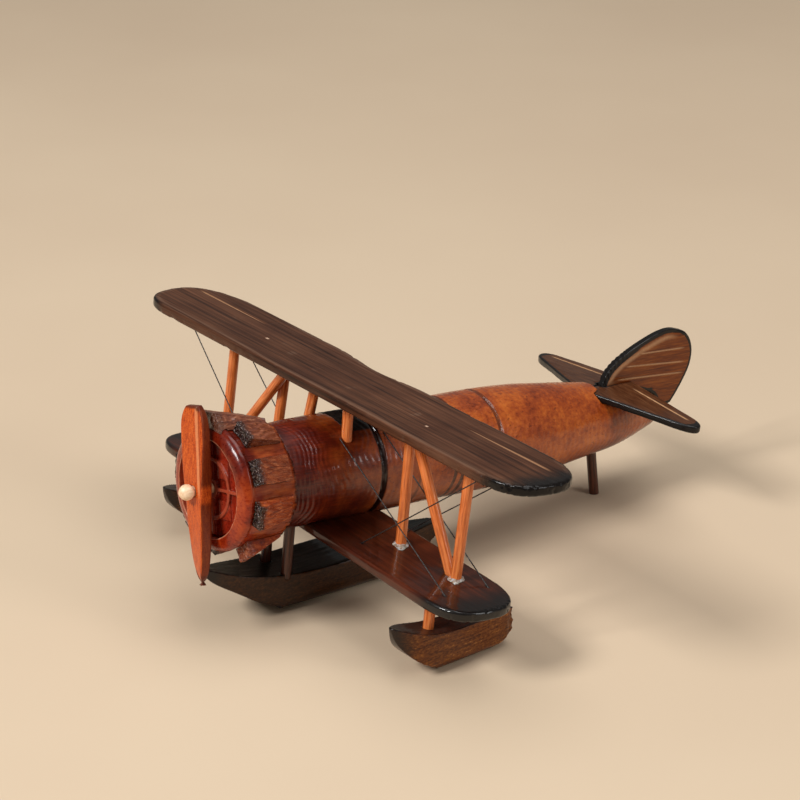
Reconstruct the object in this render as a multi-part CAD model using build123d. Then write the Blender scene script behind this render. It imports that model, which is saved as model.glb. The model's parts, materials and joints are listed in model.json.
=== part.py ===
"""Wooden biplane floatplane desk ornament: one STEP file per wooden piece or thread.

Aircraft frame: origin on the fuselage axis at the cowl's front lip, X to the port wing,
Y towards the tail, Z up. The whole aeroplane is then set nose-up by `attitude`.
Ground frame: X to port, Y towards the tail, Z = 0 is the table. The floats lie in it.
Last of all the assembly is moved so that its box is centred on the origin in plan.
"""
import os
from math import atan2, cos, degrees, radians, sin

from build123d import *

# ---- driving dimensions, millimetres and degrees ----
dowel = 5.0
pitch = 6.7
nose_height = 67.9
socket = 2.6
thread = 0.6

cowl_length = 29.0
lip_radius = 28.8
band_radius = 28.2
recess_radius = 22.2
recess_depth = 5.0
hub_radius = 4.6

body_radius = 24.4
body_end = 265.5

chord = 42.0
upper_top = 42.4
upper_lead = 50.4
lower_chord = 40.5
lower_top = -18.6
lower_lead = 46.2
plank = 5.1
anhedral = 1.8

blade_up = 37.6
blade_down = 42.2
propeller_place = -4.5
propeller_lean = 12.0
running_clearance = 0.06

fin_thickness = 5.0
tail_plank = 4.0
tail_top = 16.6
tail_droop = 4.1
tail_half_span = 57.5

float_yaw = 4.0
float_yaw_centre = 70.0
tip_float_place = 88.0

# ---- worked out from the driving dimensions ----
upper_under = upper_top - plank
lower_trail = lower_lead + lower_chord
upper_trail = upper_lead + chord
saddle_floor = tail_top - tail_plank
attitude = Location((0, 0, nose_height), (-pitch, 0, 0))


def lower_height(x):
    """Height of the drooping lower wing's top face at a spanwise place."""
    return lower_top - abs(x) * sin(radians(anhedral))


def rod(start, end, diameter):
    """Round rod between two points."""
    axis = Vector(*end) - Vector(*start)
    plane = Plane(origin=start, z_dir=axis)
    return extrude(plane * Circle(diameter / 2), amount=axis.length)


def stretched(start, end, at_start, at_end):
    """The same line, made longer at each end."""
    first, last = Vector(*start), Vector(*end)
    along = (last - first).normalized()
    return (tuple(first - along * at_start), tuple(last + along * at_end))


def turned(points):
    """Body of revolution about Y from (radius, y) points."""
    outline = make_face(Polyline(*points, close=True))
    return revolve(outline, Axis.Y, 360)


def mirrored(shape):
    return mirror(shape, Plane.YZ)


# ---- fuselage and nose ----
def body_profile():
    """(y, radius) stations along the turned fuselage."""
    return [(cowl_length, 23.5), (55, body_radius), (92, body_radius), (126, 23.8), (156, 23.8),
            (180, 22.4), (200, 20.25), (215, 18.4), (230, 16.6), (245, 13.4), (256, 10.2),
            (262, 7.8), (264.6, 5.2), (body_end, 2.4)]


def turned_marks():
    """(y, width, depth, radius of the body there) of each groove turned round the fuselage."""
    waist = 23.9
    return [(79.2, 3.6, 2.2, body_radius), (100.5, 1.4, 0.8, body_radius), (121.8, 2.0, 1.3, waist),
            (126.4, 2.2, 1.4, waist), (148.8, 2.4, 1.3, waist)]


def groove(y, width, depth, radius):
    """Ring-shaped V cutter."""
    return turned([(radius + 1, y - width / 2), (radius - depth, y), (radius + 1, y + width / 2)])


def make_fuselage():
    stations = [(radius, y) for y, radius in body_profile()]
    edge = Spline(*stations)
    close = Polyline(stations[-1], (0, body_end), (0, cowl_length), stations[0])
    body = revolve(make_face(edge + close), Axis.Y, 360)
    for mark in turned_marks():
        body -= groove(*mark)
    return body - cockpit_cutter() - saddle_cutter() - belly_cutter()


def cockpit_cutter():
    """Scoop behind the windscreen step: upright in front, sloping out at the back."""
    front, back, floor, top = 64.3, 79.0, 21.6, 26.0
    side = Polyline((front, floor), (back, top - 1.2), (back, top), (front, top), close=True)
    return extrude(Plane.YZ * make_face(side), amount=11, both=True)


def saddle_cutter():
    """Flat seat cut in the top of the tail for the stabilizer and the fin."""
    seat = Box(60, 80, 20, align=(Align.CENTER, Align.MIN, Align.MIN))
    return Pos(0, 221.5, saddle_floor) * seat


def make_cowl():
    """Turned ring with a rounded lip, a shallow step behind it and a recess in front."""
    edge, shoulder, back_radius = 4.6, 5.4, 27.6
    lip = Spline((recess_radius, 0), (26.2, 1.0), (lip_radius, edge), tangents=[(1, 0.1), (0.1, 1)])
    rest = Polyline((lip_radius, edge), (band_radius, shoulder), (back_radius, cowl_length), (0, cowl_length),
                    (0, recess_depth), (recess_radius - 0.6, recess_depth), (recess_radius, 0))
    return revolve(make_face(lip + rest), Axis.Y, 360)


def make_engine_face():
    """Disc at the bottom of the cowl's recess: hub, ring, four spokes and four raised pads between them."""
    radius = recess_radius - 0.9
    base, pad_front, front, spoke_tilt = 3.6, 2.8, 2.0, 12
    face = turned([(0, base), (radius, base), (radius, recess_depth), (0, recess_depth)])
    face += turned([(12.4, front), (14.2, front), (14.2, base + 0.4), (12.4, base + 0.4)])
    face += turned([(0, front), (hub_radius, front), (hub_radius, base + 0.4), (0, base + 0.4)])
    spoke = Box(radius - hub_radius, base - front, 1.6, align=(Align.MIN, Align.MIN, Align.CENTER))
    pad = Box(8.6, base - pad_front + 0.4, 8.6, align=(Align.MIN, Align.MIN, Align.MIN))
    for index in range(4):
        face += Rot(0, 90 * index - spoke_tilt, 0) * Pos(hub_radius - 0.6, front, 0) * spoke
        face += Rot(0, 90 * index - spoke_tilt, 0) * Pos(4.6, pad_front, 4.6) * pad
    return face


def cylinder_places():
    """(angle, front, height, half width at the foot and at the top) of each block. They are not evenly set."""
    plain = (5.4, 33.6, 5.9, 5.9)
    top, bottom = 103, 263
    hidden = [top + (bottom - top) * share / 4 for share in (1, 2, 3)]
    places = [(angle, *plain) for angle in (31, *hidden, 355)]
    return sorted(places + [(67, 7.2, 33.6, 5.7, 5.7), (top, 1.2, 34.0, 11.5, 7.5), (bottom, 5.4, 31.6, 5.9, 5.9),
                            (310, 7.4, 34.4, 4.8, 4.8)])


def make_cylinder(place, cowl):
    """Wedge block on the cowl band: tall in front, running out at the back."""
    angle, front, height, foot_half, top_half = place
    back, low = 26.0, 25.0
    side = Polyline((front, low), (front, height), (front + 3, height - 0.2), (back, band_radius + 0.4),
                    (back, low), close=True)
    wedge = extrude(Plane.YZ * make_face(side), amount=foot_half, both=True)
    section = Polyline((-foot_half, low), (-top_half, height), (top_half, height), (foot_half, low), close=True)
    wedge &= extrude(Plane.XZ * make_face(section), amount=-cowl_length)
    return Rot(0, 90 - angle, 0) * wedge - cowl


def make_peg():
    """Dowel peg with a ball head that holds the propeller on."""
    head = 3.6
    head_place = propeller_place - 3.0 - head + 0.6
    shank = rod((0, head_place, 0), (0, recess_depth + 3, 0), dowel)
    return shank + Pos(0, head_place, 0) * Sphere(head)


def make_propeller():
    """Two flat carved blades in one piece, twisted about their length. The lower one is longer and pointed."""
    hub_thick, corner = 6.6, 1.0
    upper = [(12, 13.8, 6.0), (26, 13.6, 5.2), (33, 11.6, 4.6), (blade_up, 6.8, 3.8)]
    lower = [(12, 13.4, 6.0), (26, 13.0, 5.2), (35, 9.6, 4.4), (blade_down, 4.6, 3.0)]
    full = [(-at, wide, thick) for at, wide, thick in reversed(lower)] + [(0, 13.0, hub_thick)] + upper
    turn_per_mm = 21 / blade_down
    sections = []
    for at, wide, thick in full:
        twist = radians(turn_per_mm * at)
        plane = Plane(origin=(0, propeller_place, at), x_dir=(cos(twist), sin(twist), 0), z_dir=(0, 0, 1))
        sections.append(plane * RectangleRounded(wide, thick, corner))
    blades = loft(sections)
    hole = rod((0, propeller_place - 12, 0), (0, propeller_place + 12, 0), dowel + 2 * running_clearance)
    return Rot(0, -propeller_lean, 0) * (blades - hole)


# ---- wings ----
def wing_outline(lead, trail, port_tip, starboard_tip, notch):
    """Plan outline of a plank with rounded tips, carved by hand and so not quite alike, and a notch behind.

    Each tip is (reach, how far its end lies behind the leading edge, straight run in front, run behind).
    """
    reach, end, port_lead, port_trail = port_tip
    right = Spline((port_lead, lead), (reach, lead + end), (port_trail, trail), tangents=[(1, 0.05), (-1, 0.1)])
    reach, end, far_lead, far_trail = starboard_tip
    left = Spline((-far_trail, trail), (-reach, lead + end), (-far_lead, lead), tangents=[(-1, -0.1), (1, -0.05)])
    front = Line((-far_lead, lead), (port_lead, lead))
    if notch:
        half = 33
        back = (Line((port_trail, trail), (half, trail))
                + Spline((half, trail), (0, trail - notch), (-half, trail), tangents=[(-1, 0), (-1, 0)])
                + Line((-half, trail), (-far_trail, trail)))
    else:
        back = Line((port_trail, trail), (-far_trail, trail))
    return make_face(right + left + front + back)


def softened(plate, radius):
    """Round the long edges of a plate lying in XY."""
    edges = plate.faces().sort_by(Axis.Z)[0].edges() + plate.faces().sort_by(Axis.Z)[-1].edges()
    return fillet(edges, radius)


def carved_line(points, depth, width):
    """Shallow square-bottomed cutter along a line on a flat top face."""
    cutter = None
    for (x0, y0, z0), (x1, y1, z1) in zip(points, points[1:]):
        length = ((x1 - x0) ** 2 + (y1 - y0) ** 2) ** 0.5
        bar = Box(length, width, 2 * depth, align=(Align.MIN, Align.CENTER, Align.CENTER))
        piece = Pos(x0, y0, z0) * Rot(0, 0, degrees(atan2(y1 - y0, x1 - x0))) * bar
        cutter = piece if cutter is None else cutter + piece
    return cutter


def make_upper_wing():
    outline = wing_outline(upper_lead, upper_trail, (142.6, 18, 120, 119), (137.4, 14, 118, 106), 3.0)
    plate = softened(Pos(0, 0, upper_under) * extrude(outline, amount=plank), 1.5)
    hinge = upper_lead + 29.6
    line = carved_line([(131, hinge, upper_top), (75, hinge, upper_top)], 0.5, 1.0)
    line += carved_line([(75, hinge, upper_top), (75, upper_trail - 1.6, upper_top)], 0.3, 0.7)
    return plate - line - mirrored(line)


def make_lower_wing():
    outline = wing_outline(lower_lead, lower_trail, (119.4, 18, 98, 99), (113.6, 18, 93, 94), 0)
    plate = softened(Pos(0, 0, -plank) * extrude(outline, amount=plank), 1.5)
    port_side = Box(200, 400, 60, align=(Align.MIN, Align.CENTER, Align.CENTER))
    port, starboard = [(Rot(0, anhedral, 0) * half) & port_side for half in (plate, mirrored(plate))]
    return Pos(0, 0, lower_top) * (port + mirrored(starboard))


def belly_cutter():
    """Seat across the fuselage's belly for the lower wing, which droops from the middle."""
    reach = 40
    side = lower_height(reach)
    roof = Polyline((-reach, side), (0, lower_top), (reach, side), (reach, -reach), (-reach, -reach), close=True)
    front = Plane(origin=(0, lower_lead, 0), x_dir=(1, 0, 0), z_dir=(0, -1, 0))
    return extrude(front * make_face(roof), amount=-lower_chord)


def strut_lines():
    """(name, foot, head) of the interplane and cabane dowels, mating faces only."""
    row = 71.5
    lines = []
    for side, sign in (("port", 1), ("starboard", -1)):
        lines.append((f"inner_strut_{side}", (sign * 49.2, row, lower_height(49.2)),
                      (sign * 46.6, row + 1.6, upper_under)))
        lines.append((f"outer_strut_{side}", (sign * 88.2, row, lower_height(88.2)),
                      (sign * 88.2, row + 1.8, upper_under)))
        lines.append((f"cabane_strut_{side}", (sign * 14.2, row - 8.1, 19.9),
                      (sign * 12.1, row - 7.1, upper_under)))
    lines.append(("diagonal_strut_port", (82.4, row + 1.6, lower_height(82.4)), (52.2, row - 1.7, upper_under)))
    lines.append(("diagonal_strut_starboard", (-81.8, row - 3.6, lower_height(81.8)),
                  (-35, row - 4.4, upper_under)))
    return lines


def thread_lines():
    """(name, lower end, upper end) of the eight rigging threads, mating faces only."""
    front, rear, belly_side = 56.4, 82.8, 15.6
    lines = []
    ends = {"port": (1, 41.3, 115.0, 39.4, 114.5), "starboard": (-1, 33.0, 101.0, 35.0, 109.5)}
    for side, (sign, front_foot, front_head, rear_foot, rear_head) in ends.items():
        lines.append((f"front_flying_wire_{side}", (sign * front_foot, front - 0.4, lower_height(front_foot)),
                      (sign * front_head, front, upper_under)))
        lines.append((f"rear_flying_wire_{side}", (sign * rear_foot, rear, lower_height(rear_foot)),
                      (sign * rear_head, rear, upper_under)))
        lines.append((f"front_landing_wire_{side}", (sign * 99.5, front, lower_height(99.5)),
                      (sign * belly_side, front + 3.0, 18.8)))
        lines.append((f"rear_landing_wire_{side}", (sign * 100.0, rear - 3.2, lower_height(100)),
                      (sign * belly_side, rear + 0.6, 18.8)))
    return lines


# ---- tail ----
def make_fin():
    points = [(227, saddle_floor), (230.4, 23.4), (243.3, 32.4), (258, 38.4), (272, 40.4), (281.6, 35.6),
              (286, 24.5), (282.3, 12), (275.6, 1.3)]
    edge = Spline(*points)
    under = Polyline(points[-1], (262, -1), (240, 4), points[0])
    plate = extrude(Plane.YZ * make_face(edge + under), amount=fin_thickness / 2, both=True)
    rim = plate.edges().filter_by(lambda item: item.length > 40)
    return fillet(rim, 1.2)


def make_stabilizer():
    """Port half of the stabilizer, drooping from the middle."""
    root_lead, root_trail, tip_lead, tip_trail = 213.0, 247.0, 232.5, 245.4
    lead_run, trail_run, tip_middle = tail_half_span - 9, tail_half_span - 10, 240.0
    tip = Spline((lead_run, tip_lead), (tail_half_span, tip_middle), (trail_run, tip_trail),
                 tangents=[(1, 0.4), (-1, 0.05)])
    rest = Polyline((trail_run, tip_trail), (0, root_trail), (0, root_lead), (lead_run, tip_lead))
    plate = softened_free(Pos(0, 0, -tail_plank) * extrude(make_face(tip + rest), amount=tail_plank), 1.1)
    hinge = 240.6
    plate -= carved_line([(10, hinge, 0), (tail_half_span - 8, hinge, 0)], 0.4, 0.9)
    port_side = Box(100, 600, 100, align=(Align.MIN, Align.CENTER, Align.CENTER))
    return (Pos(0, 0, tail_top) * Rot(0, tail_droop, 0) * plate) & port_side


def softened_free(plate, radius):
    """Round the long edges of a plate, leaving its flat root end square."""
    faces = plate.faces().sort_by(Axis.Z)
    edges = [edge for face in (faces[0], faces[-1]) for edge in face.edges() if edge.center().X > 1]
    return fillet(edges, radius)


def tail_post_line():
    return (0, 226.4, 0), (0, 223.6, 24.2)


# ---- floats, in the ground frame ----
def carved_float(plan, deck, keel, half_width, corner):
    """Float cut to a plan outline, a side outline and a section with rounded lower corners.

    keel holds the points up the bow and those up the stern, with a flat between them.
    """
    outer = Spline(*[(wide, y) for y, wide in plan])
    inner = Spline(*[(-wide, y) for y, wide in plan])
    ends = Line(outer @ 0, inner @ 0) + Line(outer @ 1, inner @ 1)
    block = extrude(make_face(outer + inner + ends), amount=60)
    top = Spline(*deck)
    bow, stern = keel
    bottom = Spline(*bow, tangents=[(0.25, -1), (1, 0)]) + Line(bow[-1], stern[0])
    bottom += Spline(*stern, tangents=[(1, 0), (1, 0.5)])
    close = Line(top @ 0, bow[0]) + Line(top @ 1, stern[-1])
    block &= extrude(Plane.YZ * make_face(top + bottom + close), amount=60, both=True)
    over_deck = 24.0
    section = Pos(0, over_deck) * RectangleRounded(2 * half_width, 2 * over_deck, corner)
    slab = extrude(Plane.XZ * section, amount=-400, both=True)
    return block & slab


def make_main_float():
    plan = [(-1, 1.0), (10, 7.6), (26, 11.6), (45, 13.6), (64, 14.0), (88, 11.6), (108, 7.0), (128, 1.4)]
    deck = [(-1, 27.5), (12, 23.4), (28, 20.0), (46, 18.3), (75, 18.0), (128, 17.6)]
    keel = ([(-1, 25.5), (2, 20.6), (8, 16.6), (16, 11.6), (25, 6.4), (34, 2.6), (46, 0)],
            [(84, 0), (100, 2.6), (114, 7.0), (128, 13.0)])
    half_width, corner = 14.0, 9.0
    hull = carved_float(plan, deck, keel, half_width, corner)
    turn = Pos(0, float_yaw_centre, 0) * Rot(0, 0, -float_yaw) * Pos(0, -float_yaw_centre, 0)
    return turn * hull


def make_tip_float():
    """Port float under the lower wing. It stands on a narrow flat along its keel."""
    stern, half_width, corner = 97.5, 7.6, 6.5
    plan = [(33, 1.0), (38, 4.6), (46, 7.0), (60, half_width), (80, 7.2), (stern, 5.2)]
    deck = [(33, 26.0), (40, 23.4), (52, 19.8), (66, 18.2), (stern, 17.6)]
    keel = ([(33, 24.0), (35, 18.0), (39, 12.8), (46, 6.8), (53, 2.6), (63, 0)],
            [(78, 0), (86, 1.4), (92, 3.4), (stern, 6.6)])
    return Pos(tip_float_place, 0, 0) * carved_float(plan, deck, keel, half_width, corner)


def float_dowel_lines():
    """(name, foot on the deck, head under the wing or body), ground frame."""
    lean = sin(radians(pitch))
    lines = []
    for side, sign in (("port", 1), ("starboard", -1)):
        lines.append((f"tip_float_dowel_{side}", (sign * 87.6, 54.0, 19.3), (sign * 87.6, 54.0 + 16 * lean, 35.6)))
        lines.append((f"main_float_dowel_{side}", (sign * 8.0, 35.6, 19.3), (sign * 8.0, 35.6 + 20 * lean, 40.4)))
    return lines


# ---- assembly ----
def build_parts():
    parts = {
        "fuselage": attitude * make_fuselage(),
        "cowl": attitude * make_cowl(),
        "engine_face": attitude * make_engine_face(),
        "upper_wing": attitude * make_upper_wing(),
        "lower_wing": attitude * make_lower_wing(),
        "fin": attitude * make_fin(),
        "stabilizer_port": attitude * make_stabilizer(),
        "stabilizer_starboard": attitude * mirrored(make_stabilizer()),
        "main_float": make_main_float(),
        "tip_float_port": make_tip_float(),
        "tip_float_starboard": mirrored(make_tip_float()),
        "propeller_peg": attitude * make_peg(),
        "propeller": attitude * make_propeller(),
    }
    cowl = make_cowl()
    for number, place in enumerate(cylinder_places(), start=1):
        parts[f"cylinder_{number:02d}"] = attitude * make_cylinder(place, cowl)
    rods = {}
    for name, foot, head in strut_lines():
        rods[name] = attitude * rod(*stretched(foot, head, socket, socket), dowel)
    for name, foot, head in float_dowel_lines():
        rods[name] = rod(*stretched(foot, head, socket, socket), dowel)
    post_foot, post_head = tail_post_line()
    flat_foot = Box(60, 60, 60, align=(Align.CENTER, Align.CENTER, Align.MIN))
    post = rod(*stretched(post_foot, post_head, 2, 3), dowel)
    rods["tail_post"] = post & (Pos(0, post_foot[1], 0) * flat_foot)
    threads = {}
    for name, foot, head in thread_lines():
        threads[name] = attitude * rod(*stretched(foot, head, 1.6, 1.6), thread)
    socket_pieces(parts, rods, threads)
    parts.update(rods)
    parts.update(threads)
    return parts


def socket_pieces(parts, rods, threads):
    """Cut every seat, socket and thread hole into the piece that carries it."""
    for half in ("stabilizer_port", "stabilizer_starboard"):
        parts["fuselage"] -= parts[half]
        parts[half] -= parts["fin"]
    parts["fin"] -= parts["fuselage"]
    for host in ("cowl", "engine_face"):
        parts[host] -= parts["propeller_peg"]
    for host in ("fuselage", "upper_wing", "lower_wing", "main_float", "tip_float_port", "tip_float_starboard"):
        for piece in list(rods.values()) + list(threads.values()):
            if host_touches(parts[host], piece):
                parts[host] -= piece


def host_touches(host, piece):
    """True when two bounding boxes overlap."""
    a, b = host.bounding_box(), piece.bounding_box()
    return all(getattr(a.min, n) < getattr(b.max, n) and getattr(b.min, n) < getattr(a.max, n) for n in "XYZ")


def centred(parts):
    """Move everything so the assembly's box is centred on the origin in plan."""
    boxes = [part.bounding_box() for part in parts.values()]
    middle_x = (min(box.min.X for box in boxes) + max(box.max.X for box in boxes)) / 2
    middle_y = (min(box.min.Y for box in boxes) + max(box.max.Y for box in boxes)) / 2
    return {name: Pos(-middle_x, -middle_y, 0) * part for name, part in parts.items()}


def main():
    os.makedirs("parts", exist_ok=True)
    for name, part in centred(build_parts()).items():
        export_step(part, f"parts/{name}.step")
        box = part.bounding_box()
        print(f"{name:28s} solids {len(part.solids())}  volume {part.volume:9.1f}  "
              f"x {box.min.X:7.1f} {box.max.X:7.1f}  y {box.min.Y:7.1f} {box.max.Y:7.1f}  "
              f"z {box.min.Z:6.1f} {box.max.Z:6.1f}")


main()
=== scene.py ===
"""Looks of the wooden biplane floatplane ornament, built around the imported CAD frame.

The body, cowl, engine face, blocks, wings, propeller, floats and tail are the frame's own shapes,
remeshed finely and carved with tool marks, grain and wear. Dowels, threads, the peg and the glue are
built from mesh code. Sizes are in millimetres, but the stage is in metres. One frame is the aircraft's
own (origin on the fuselage axis at the cowl's front lip, X port, Y aft, Z up), the other the table's.
"""
import json
from math import atan2, cos, pi, radians, sin

import bpy
import numpy as np
from mathutils import Matrix, Vector

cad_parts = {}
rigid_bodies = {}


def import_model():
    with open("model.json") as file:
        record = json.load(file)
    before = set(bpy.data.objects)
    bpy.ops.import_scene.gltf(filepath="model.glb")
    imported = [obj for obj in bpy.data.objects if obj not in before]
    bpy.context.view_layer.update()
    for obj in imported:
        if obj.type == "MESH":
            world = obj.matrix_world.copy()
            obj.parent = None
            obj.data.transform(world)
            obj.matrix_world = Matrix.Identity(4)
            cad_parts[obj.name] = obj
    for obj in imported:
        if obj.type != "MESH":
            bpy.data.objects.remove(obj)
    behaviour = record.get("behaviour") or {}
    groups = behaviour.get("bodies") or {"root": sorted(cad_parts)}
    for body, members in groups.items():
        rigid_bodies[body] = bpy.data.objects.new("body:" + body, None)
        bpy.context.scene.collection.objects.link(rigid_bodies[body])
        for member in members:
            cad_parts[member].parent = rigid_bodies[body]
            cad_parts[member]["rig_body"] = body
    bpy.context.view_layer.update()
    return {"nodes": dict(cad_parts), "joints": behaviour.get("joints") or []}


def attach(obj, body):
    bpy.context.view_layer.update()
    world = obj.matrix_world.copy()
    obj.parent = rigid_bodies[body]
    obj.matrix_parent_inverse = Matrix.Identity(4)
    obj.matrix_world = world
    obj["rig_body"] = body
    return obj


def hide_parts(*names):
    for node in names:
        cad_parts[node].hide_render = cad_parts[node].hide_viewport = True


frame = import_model()
nodes = frame["nodes"]
blocks = sorted(name for name in nodes if name.startswith("cylinder_"))

# ---- sizes that the CAD part was built from, millimetres ----
MM = 0.001
propeller_place = -4.5
recess_radius = 22.2
upper_top = 42.4
upper_hinge = 80.0
tail_half_span = 57.5
tail_hinge = 240.6
propeller_lean = radians(12)
socket = 2.6
dowel = 5.0
thread = 0.6

# ---- marks and finishes, in the aircraft's own frame, millimetres ----
SCORCH = (0.006, 0.0045, 0.004)
# where each ring round the fuselage is, half its width, and how dark it is
body_rings = ((79.2, 2.3, 0.96), (100.5, 1.0, 0.5), (121.8, 1.3, 0.8), (126.4, 1.4, 0.8), (148.8, 1.6, 0.6))
# the groove on the upper blade: how far across it is at the hub, and how much less for each mm up
ridge_place = 6.2
ridge_slope = 0.055
# the three lines on the fin: front end and rear end, each as (aft, up)
fin_cuts = [(249.7, 29.7, 279.0, 29.2), (242.0, 24.2, 280.0, 21.9), (237.2, 18.1, 280.0, 16.2)]
# redness, charring of the front, soot on the sides: from the port block round over the top
block_looks = [(0.45, 1.0, 0.45), (0.25, 1.0, 0.35), (0.12, 0.6, 0.0), (0.3, 1.0, 0.4), (0.3, 1.0, 0.4),
               (0.3, 1.0, 0.4), (0.5, 1.0, 0.3), (1.0, 0.5, 0.0), (0.95, 1.0, 0.15)]
glue_rings, glue_sides, glue_depth = 14, 60, 0.5

# ---- the aircraft's own frame, read from the propeller's joint ----
spin = frame["joints"][0]
aft = Vector(spin["axis"]).normalized()
pitch = atan2(-aft.z, aft.y)
nose_lip = Vector(spin["pos_m"]) - aft * propeller_place * MM
aircraft = Matrix.Translation(nose_lip) @ Matrix.Rotation(-pitch, 4, "X") @ Matrix.Scale(MM, 4)
table = Matrix.Scale(MM, 4)


# ---- repeatable noise for carving ----
def lattice(cells, seed):
    """A fixed pseudo-random value from 0 to 1 for each whole-number cell."""
    cells = cells.astype(np.int64)
    mixed = cells[:, 0] * 374761393 + cells[:, 1] * 668265263 + cells[:, 2] * 2147483629 + seed * 974634777
    mixed = mixed & 0xFFFFFFFF
    mixed = ((mixed ^ (mixed >> 13)) * 1274126177) & 0xFFFFFFFF
    mixed = mixed ^ (mixed >> 16)
    return (mixed & 0xFFFF) / 65535.0


def smooth_noise(points, size, seed=0):
    """Noise from -1 to 1 with bumps of about the given size in millimetres, one size or one per axis."""
    scaled = points / np.asarray(size, dtype=float)
    base = np.floor(scaled)
    part = scaled - base
    part = part * part * (3 - 2 * part)
    total = np.zeros(len(points))
    for corner in range(8):
        step = np.array([corner & 1, corner >> 1 & 1, corner >> 2 & 1])
        weight = np.prod(np.where(step, part, 1 - part), axis=1)
        total += weight * lattice(base + step, seed)
    return 2 * total - 1


def rough_noise(points, size, seed=0, layers=3):
    """Several layers of noise, each half the size and strength of the one before."""
    size = np.asarray(size, dtype=float)
    return sum(smooth_noise(points, size / 2 ** n, seed + n) / 2 ** n for n in range(layers))


def ramp(value, low, high):
    """0 below low, 1 above high, smooth between. low may be above high."""
    share = np.clip((value - low) / (high - low), 0, 1)
    return share * share * (3 - 2 * share)


def bump(value, centre, half_width):
    """1 at the centre, 0 beyond the half width."""
    return ramp(np.abs(value - centre), half_width, 0)


# ---- meshes ----
def points_of(mesh):
    flat = np.empty(len(mesh.vertices) * 3)
    mesh.vertices.foreach_get("co", flat)
    return flat.reshape(-1, 3)


def normals_of(mesh):
    flat = np.empty(len(mesh.vertices) * 3)
    mesh.vertices.foreach_get("normal", flat)
    return flat.reshape(-1, 3)


def moved(points, matrix):
    rows = np.array(matrix)
    return points @ rows[:3, :3].T + rows[:3, 3]


def turned(directions, matrix):
    """Directions taken through a matrix's rotation alone."""
    return directions @ np.array(matrix.to_3x3().normalized()).T


def store(mesh, name, values):
    """Keep numbers or vectors on the mesh for its material."""
    if values.ndim == 1:
        mesh.attributes.new(name, "FLOAT", "POINT").data.foreach_set("value", values)
    else:
        mesh.attributes.new(name, "FLOAT_VECTOR", "POINT").data.foreach_set("vector", values.ravel())


def read(obj, name, wide=1):
    """The numbers, or with wide=3 the vectors, that store() kept on a mesh."""
    data = obj.data.attributes[name].data
    flat = np.empty(len(data) * wide, dtype=np.float32)
    data.foreach_get("vector" if wide == 3 else "value", flat)
    return flat.reshape(-1, 3).astype(float) if wide == 3 else flat.astype(float)


def stand_for(obj, node, material):
    """obj gets its material, moves with the CAD node's body and is shown instead of it."""
    obj.data.materials.clear()
    obj.data.materials.append(material)
    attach(obj, nodes[node]["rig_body"])
    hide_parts(node)


def new_object(name, data):
    """An object for a mesh, light or camera, linked to the scene."""
    obj = bpy.data.objects.new(name, data)
    bpy.context.scene.collection.objects.link(obj)
    return obj


def point_at(obj, place, direction):
    """Put a light or camera at a place, looking in a direction."""
    obj.location = place
    obj.rotation_mode = "QUATERNION"
    obj.rotation_quaternion = direction.to_track_quat("-Z", "Y")


def remeshed(source, voxel):
    """A fine, even copy of a mesh."""
    worker = new_object("worker", source.copy())
    worker.data.materials.clear()
    modifier = worker.modifiers.new("fine", "REMESH")
    modifier.mode = "VOXEL"
    modifier.voxel_size = voxel * MM
    modifier.adaptivity = 0
    shown = worker.evaluated_get(bpy.context.evaluated_depsgraph_get())
    mesh = bpy.data.meshes.new_from_object(shown)
    bpy.data.objects.remove(worker)
    return mesh


def edge_distance(points, on_edge, reach):
    """How far each point is from the nearest edge point, up to reach."""
    edge = points[on_edge]
    far = np.full(len(points), float(reach))
    if not len(edge):
        return far
    cell = {}
    for index, key in enumerate(map(tuple, np.floor(edge / reach).astype(int))):
        cell.setdefault(key, []).append(index)
    keys = np.floor(points / reach).astype(int)
    order = np.lexsort(keys.T)
    starts = np.flatnonzero(np.any(np.diff(keys[order], axis=0, prepend=keys[order][:1] - 1), axis=1))
    for group in np.split(order, starts[1:]):
        home = keys[group[0]]
        near = [i for dx in (-1, 0, 1) for dy in (-1, 0, 1) for dz in (-1, 0, 1)
                for i in cell.get((home[0] + dx, home[1] + dy, home[2] + dz), ())]
        if near:
            gaps = np.linalg.norm(points[group][:, None, :] - edge[near][None, :, :], axis=2)
            far[group] = np.minimum(gaps.min(axis=1), reach)
    return far


def keep_in_box(mesh, node):
    """Hold a mesh inside the CAD node's own box."""
    limit = points_of(nodes[node].data)
    kept = np.clip(points_of(mesh), limit.min(axis=0), limit.max(axis=0))
    mesh.vertices.foreach_set("co", kept.ravel())
    mesh.update()


def carve(node, voxel, relief, material, home=aircraft, flat_axis=None, reach=6.0):
    """Remesh a CAD node's shape, carve it along its normals and show it in the node's place.

    relief(points, normals, edge) gives the height added in millimetres, mostly below zero. flat_axis
    is the axis across a plank: its broad faces look along it, and edge is the distance from its rim.
    """
    mesh = remeshed(nodes[node].data, voxel * (1.0))
    to_home = home.inverted()
    points = moved(points_of(mesh), to_home)
    normals = turned(normals_of(mesh), to_home)
    normals /= np.linalg.norm(normals, axis=1)[:, None]
    edge = np.full(len(points), reach)
    if flat_axis is not None:
        edge = edge_distance(points, np.abs(normals[:, flat_axis]) < 0.8, reach)
    carved = points + normals * relief(points, normals, edge)[:, None]
    mesh.vertices.foreach_set("co", moved(carved, home).ravel())
    keep_in_box(mesh, node)
    store(mesh, "place", points)
    store(mesh, "face", normals)
    store(mesh, "edge", edge)
    mesh.polygons.foreach_set("use_smooth", [True] * len(mesh.polygons))
    obj = new_object("carved_" + node, mesh)
    stand_for(obj, node, material)
    return obj


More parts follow.
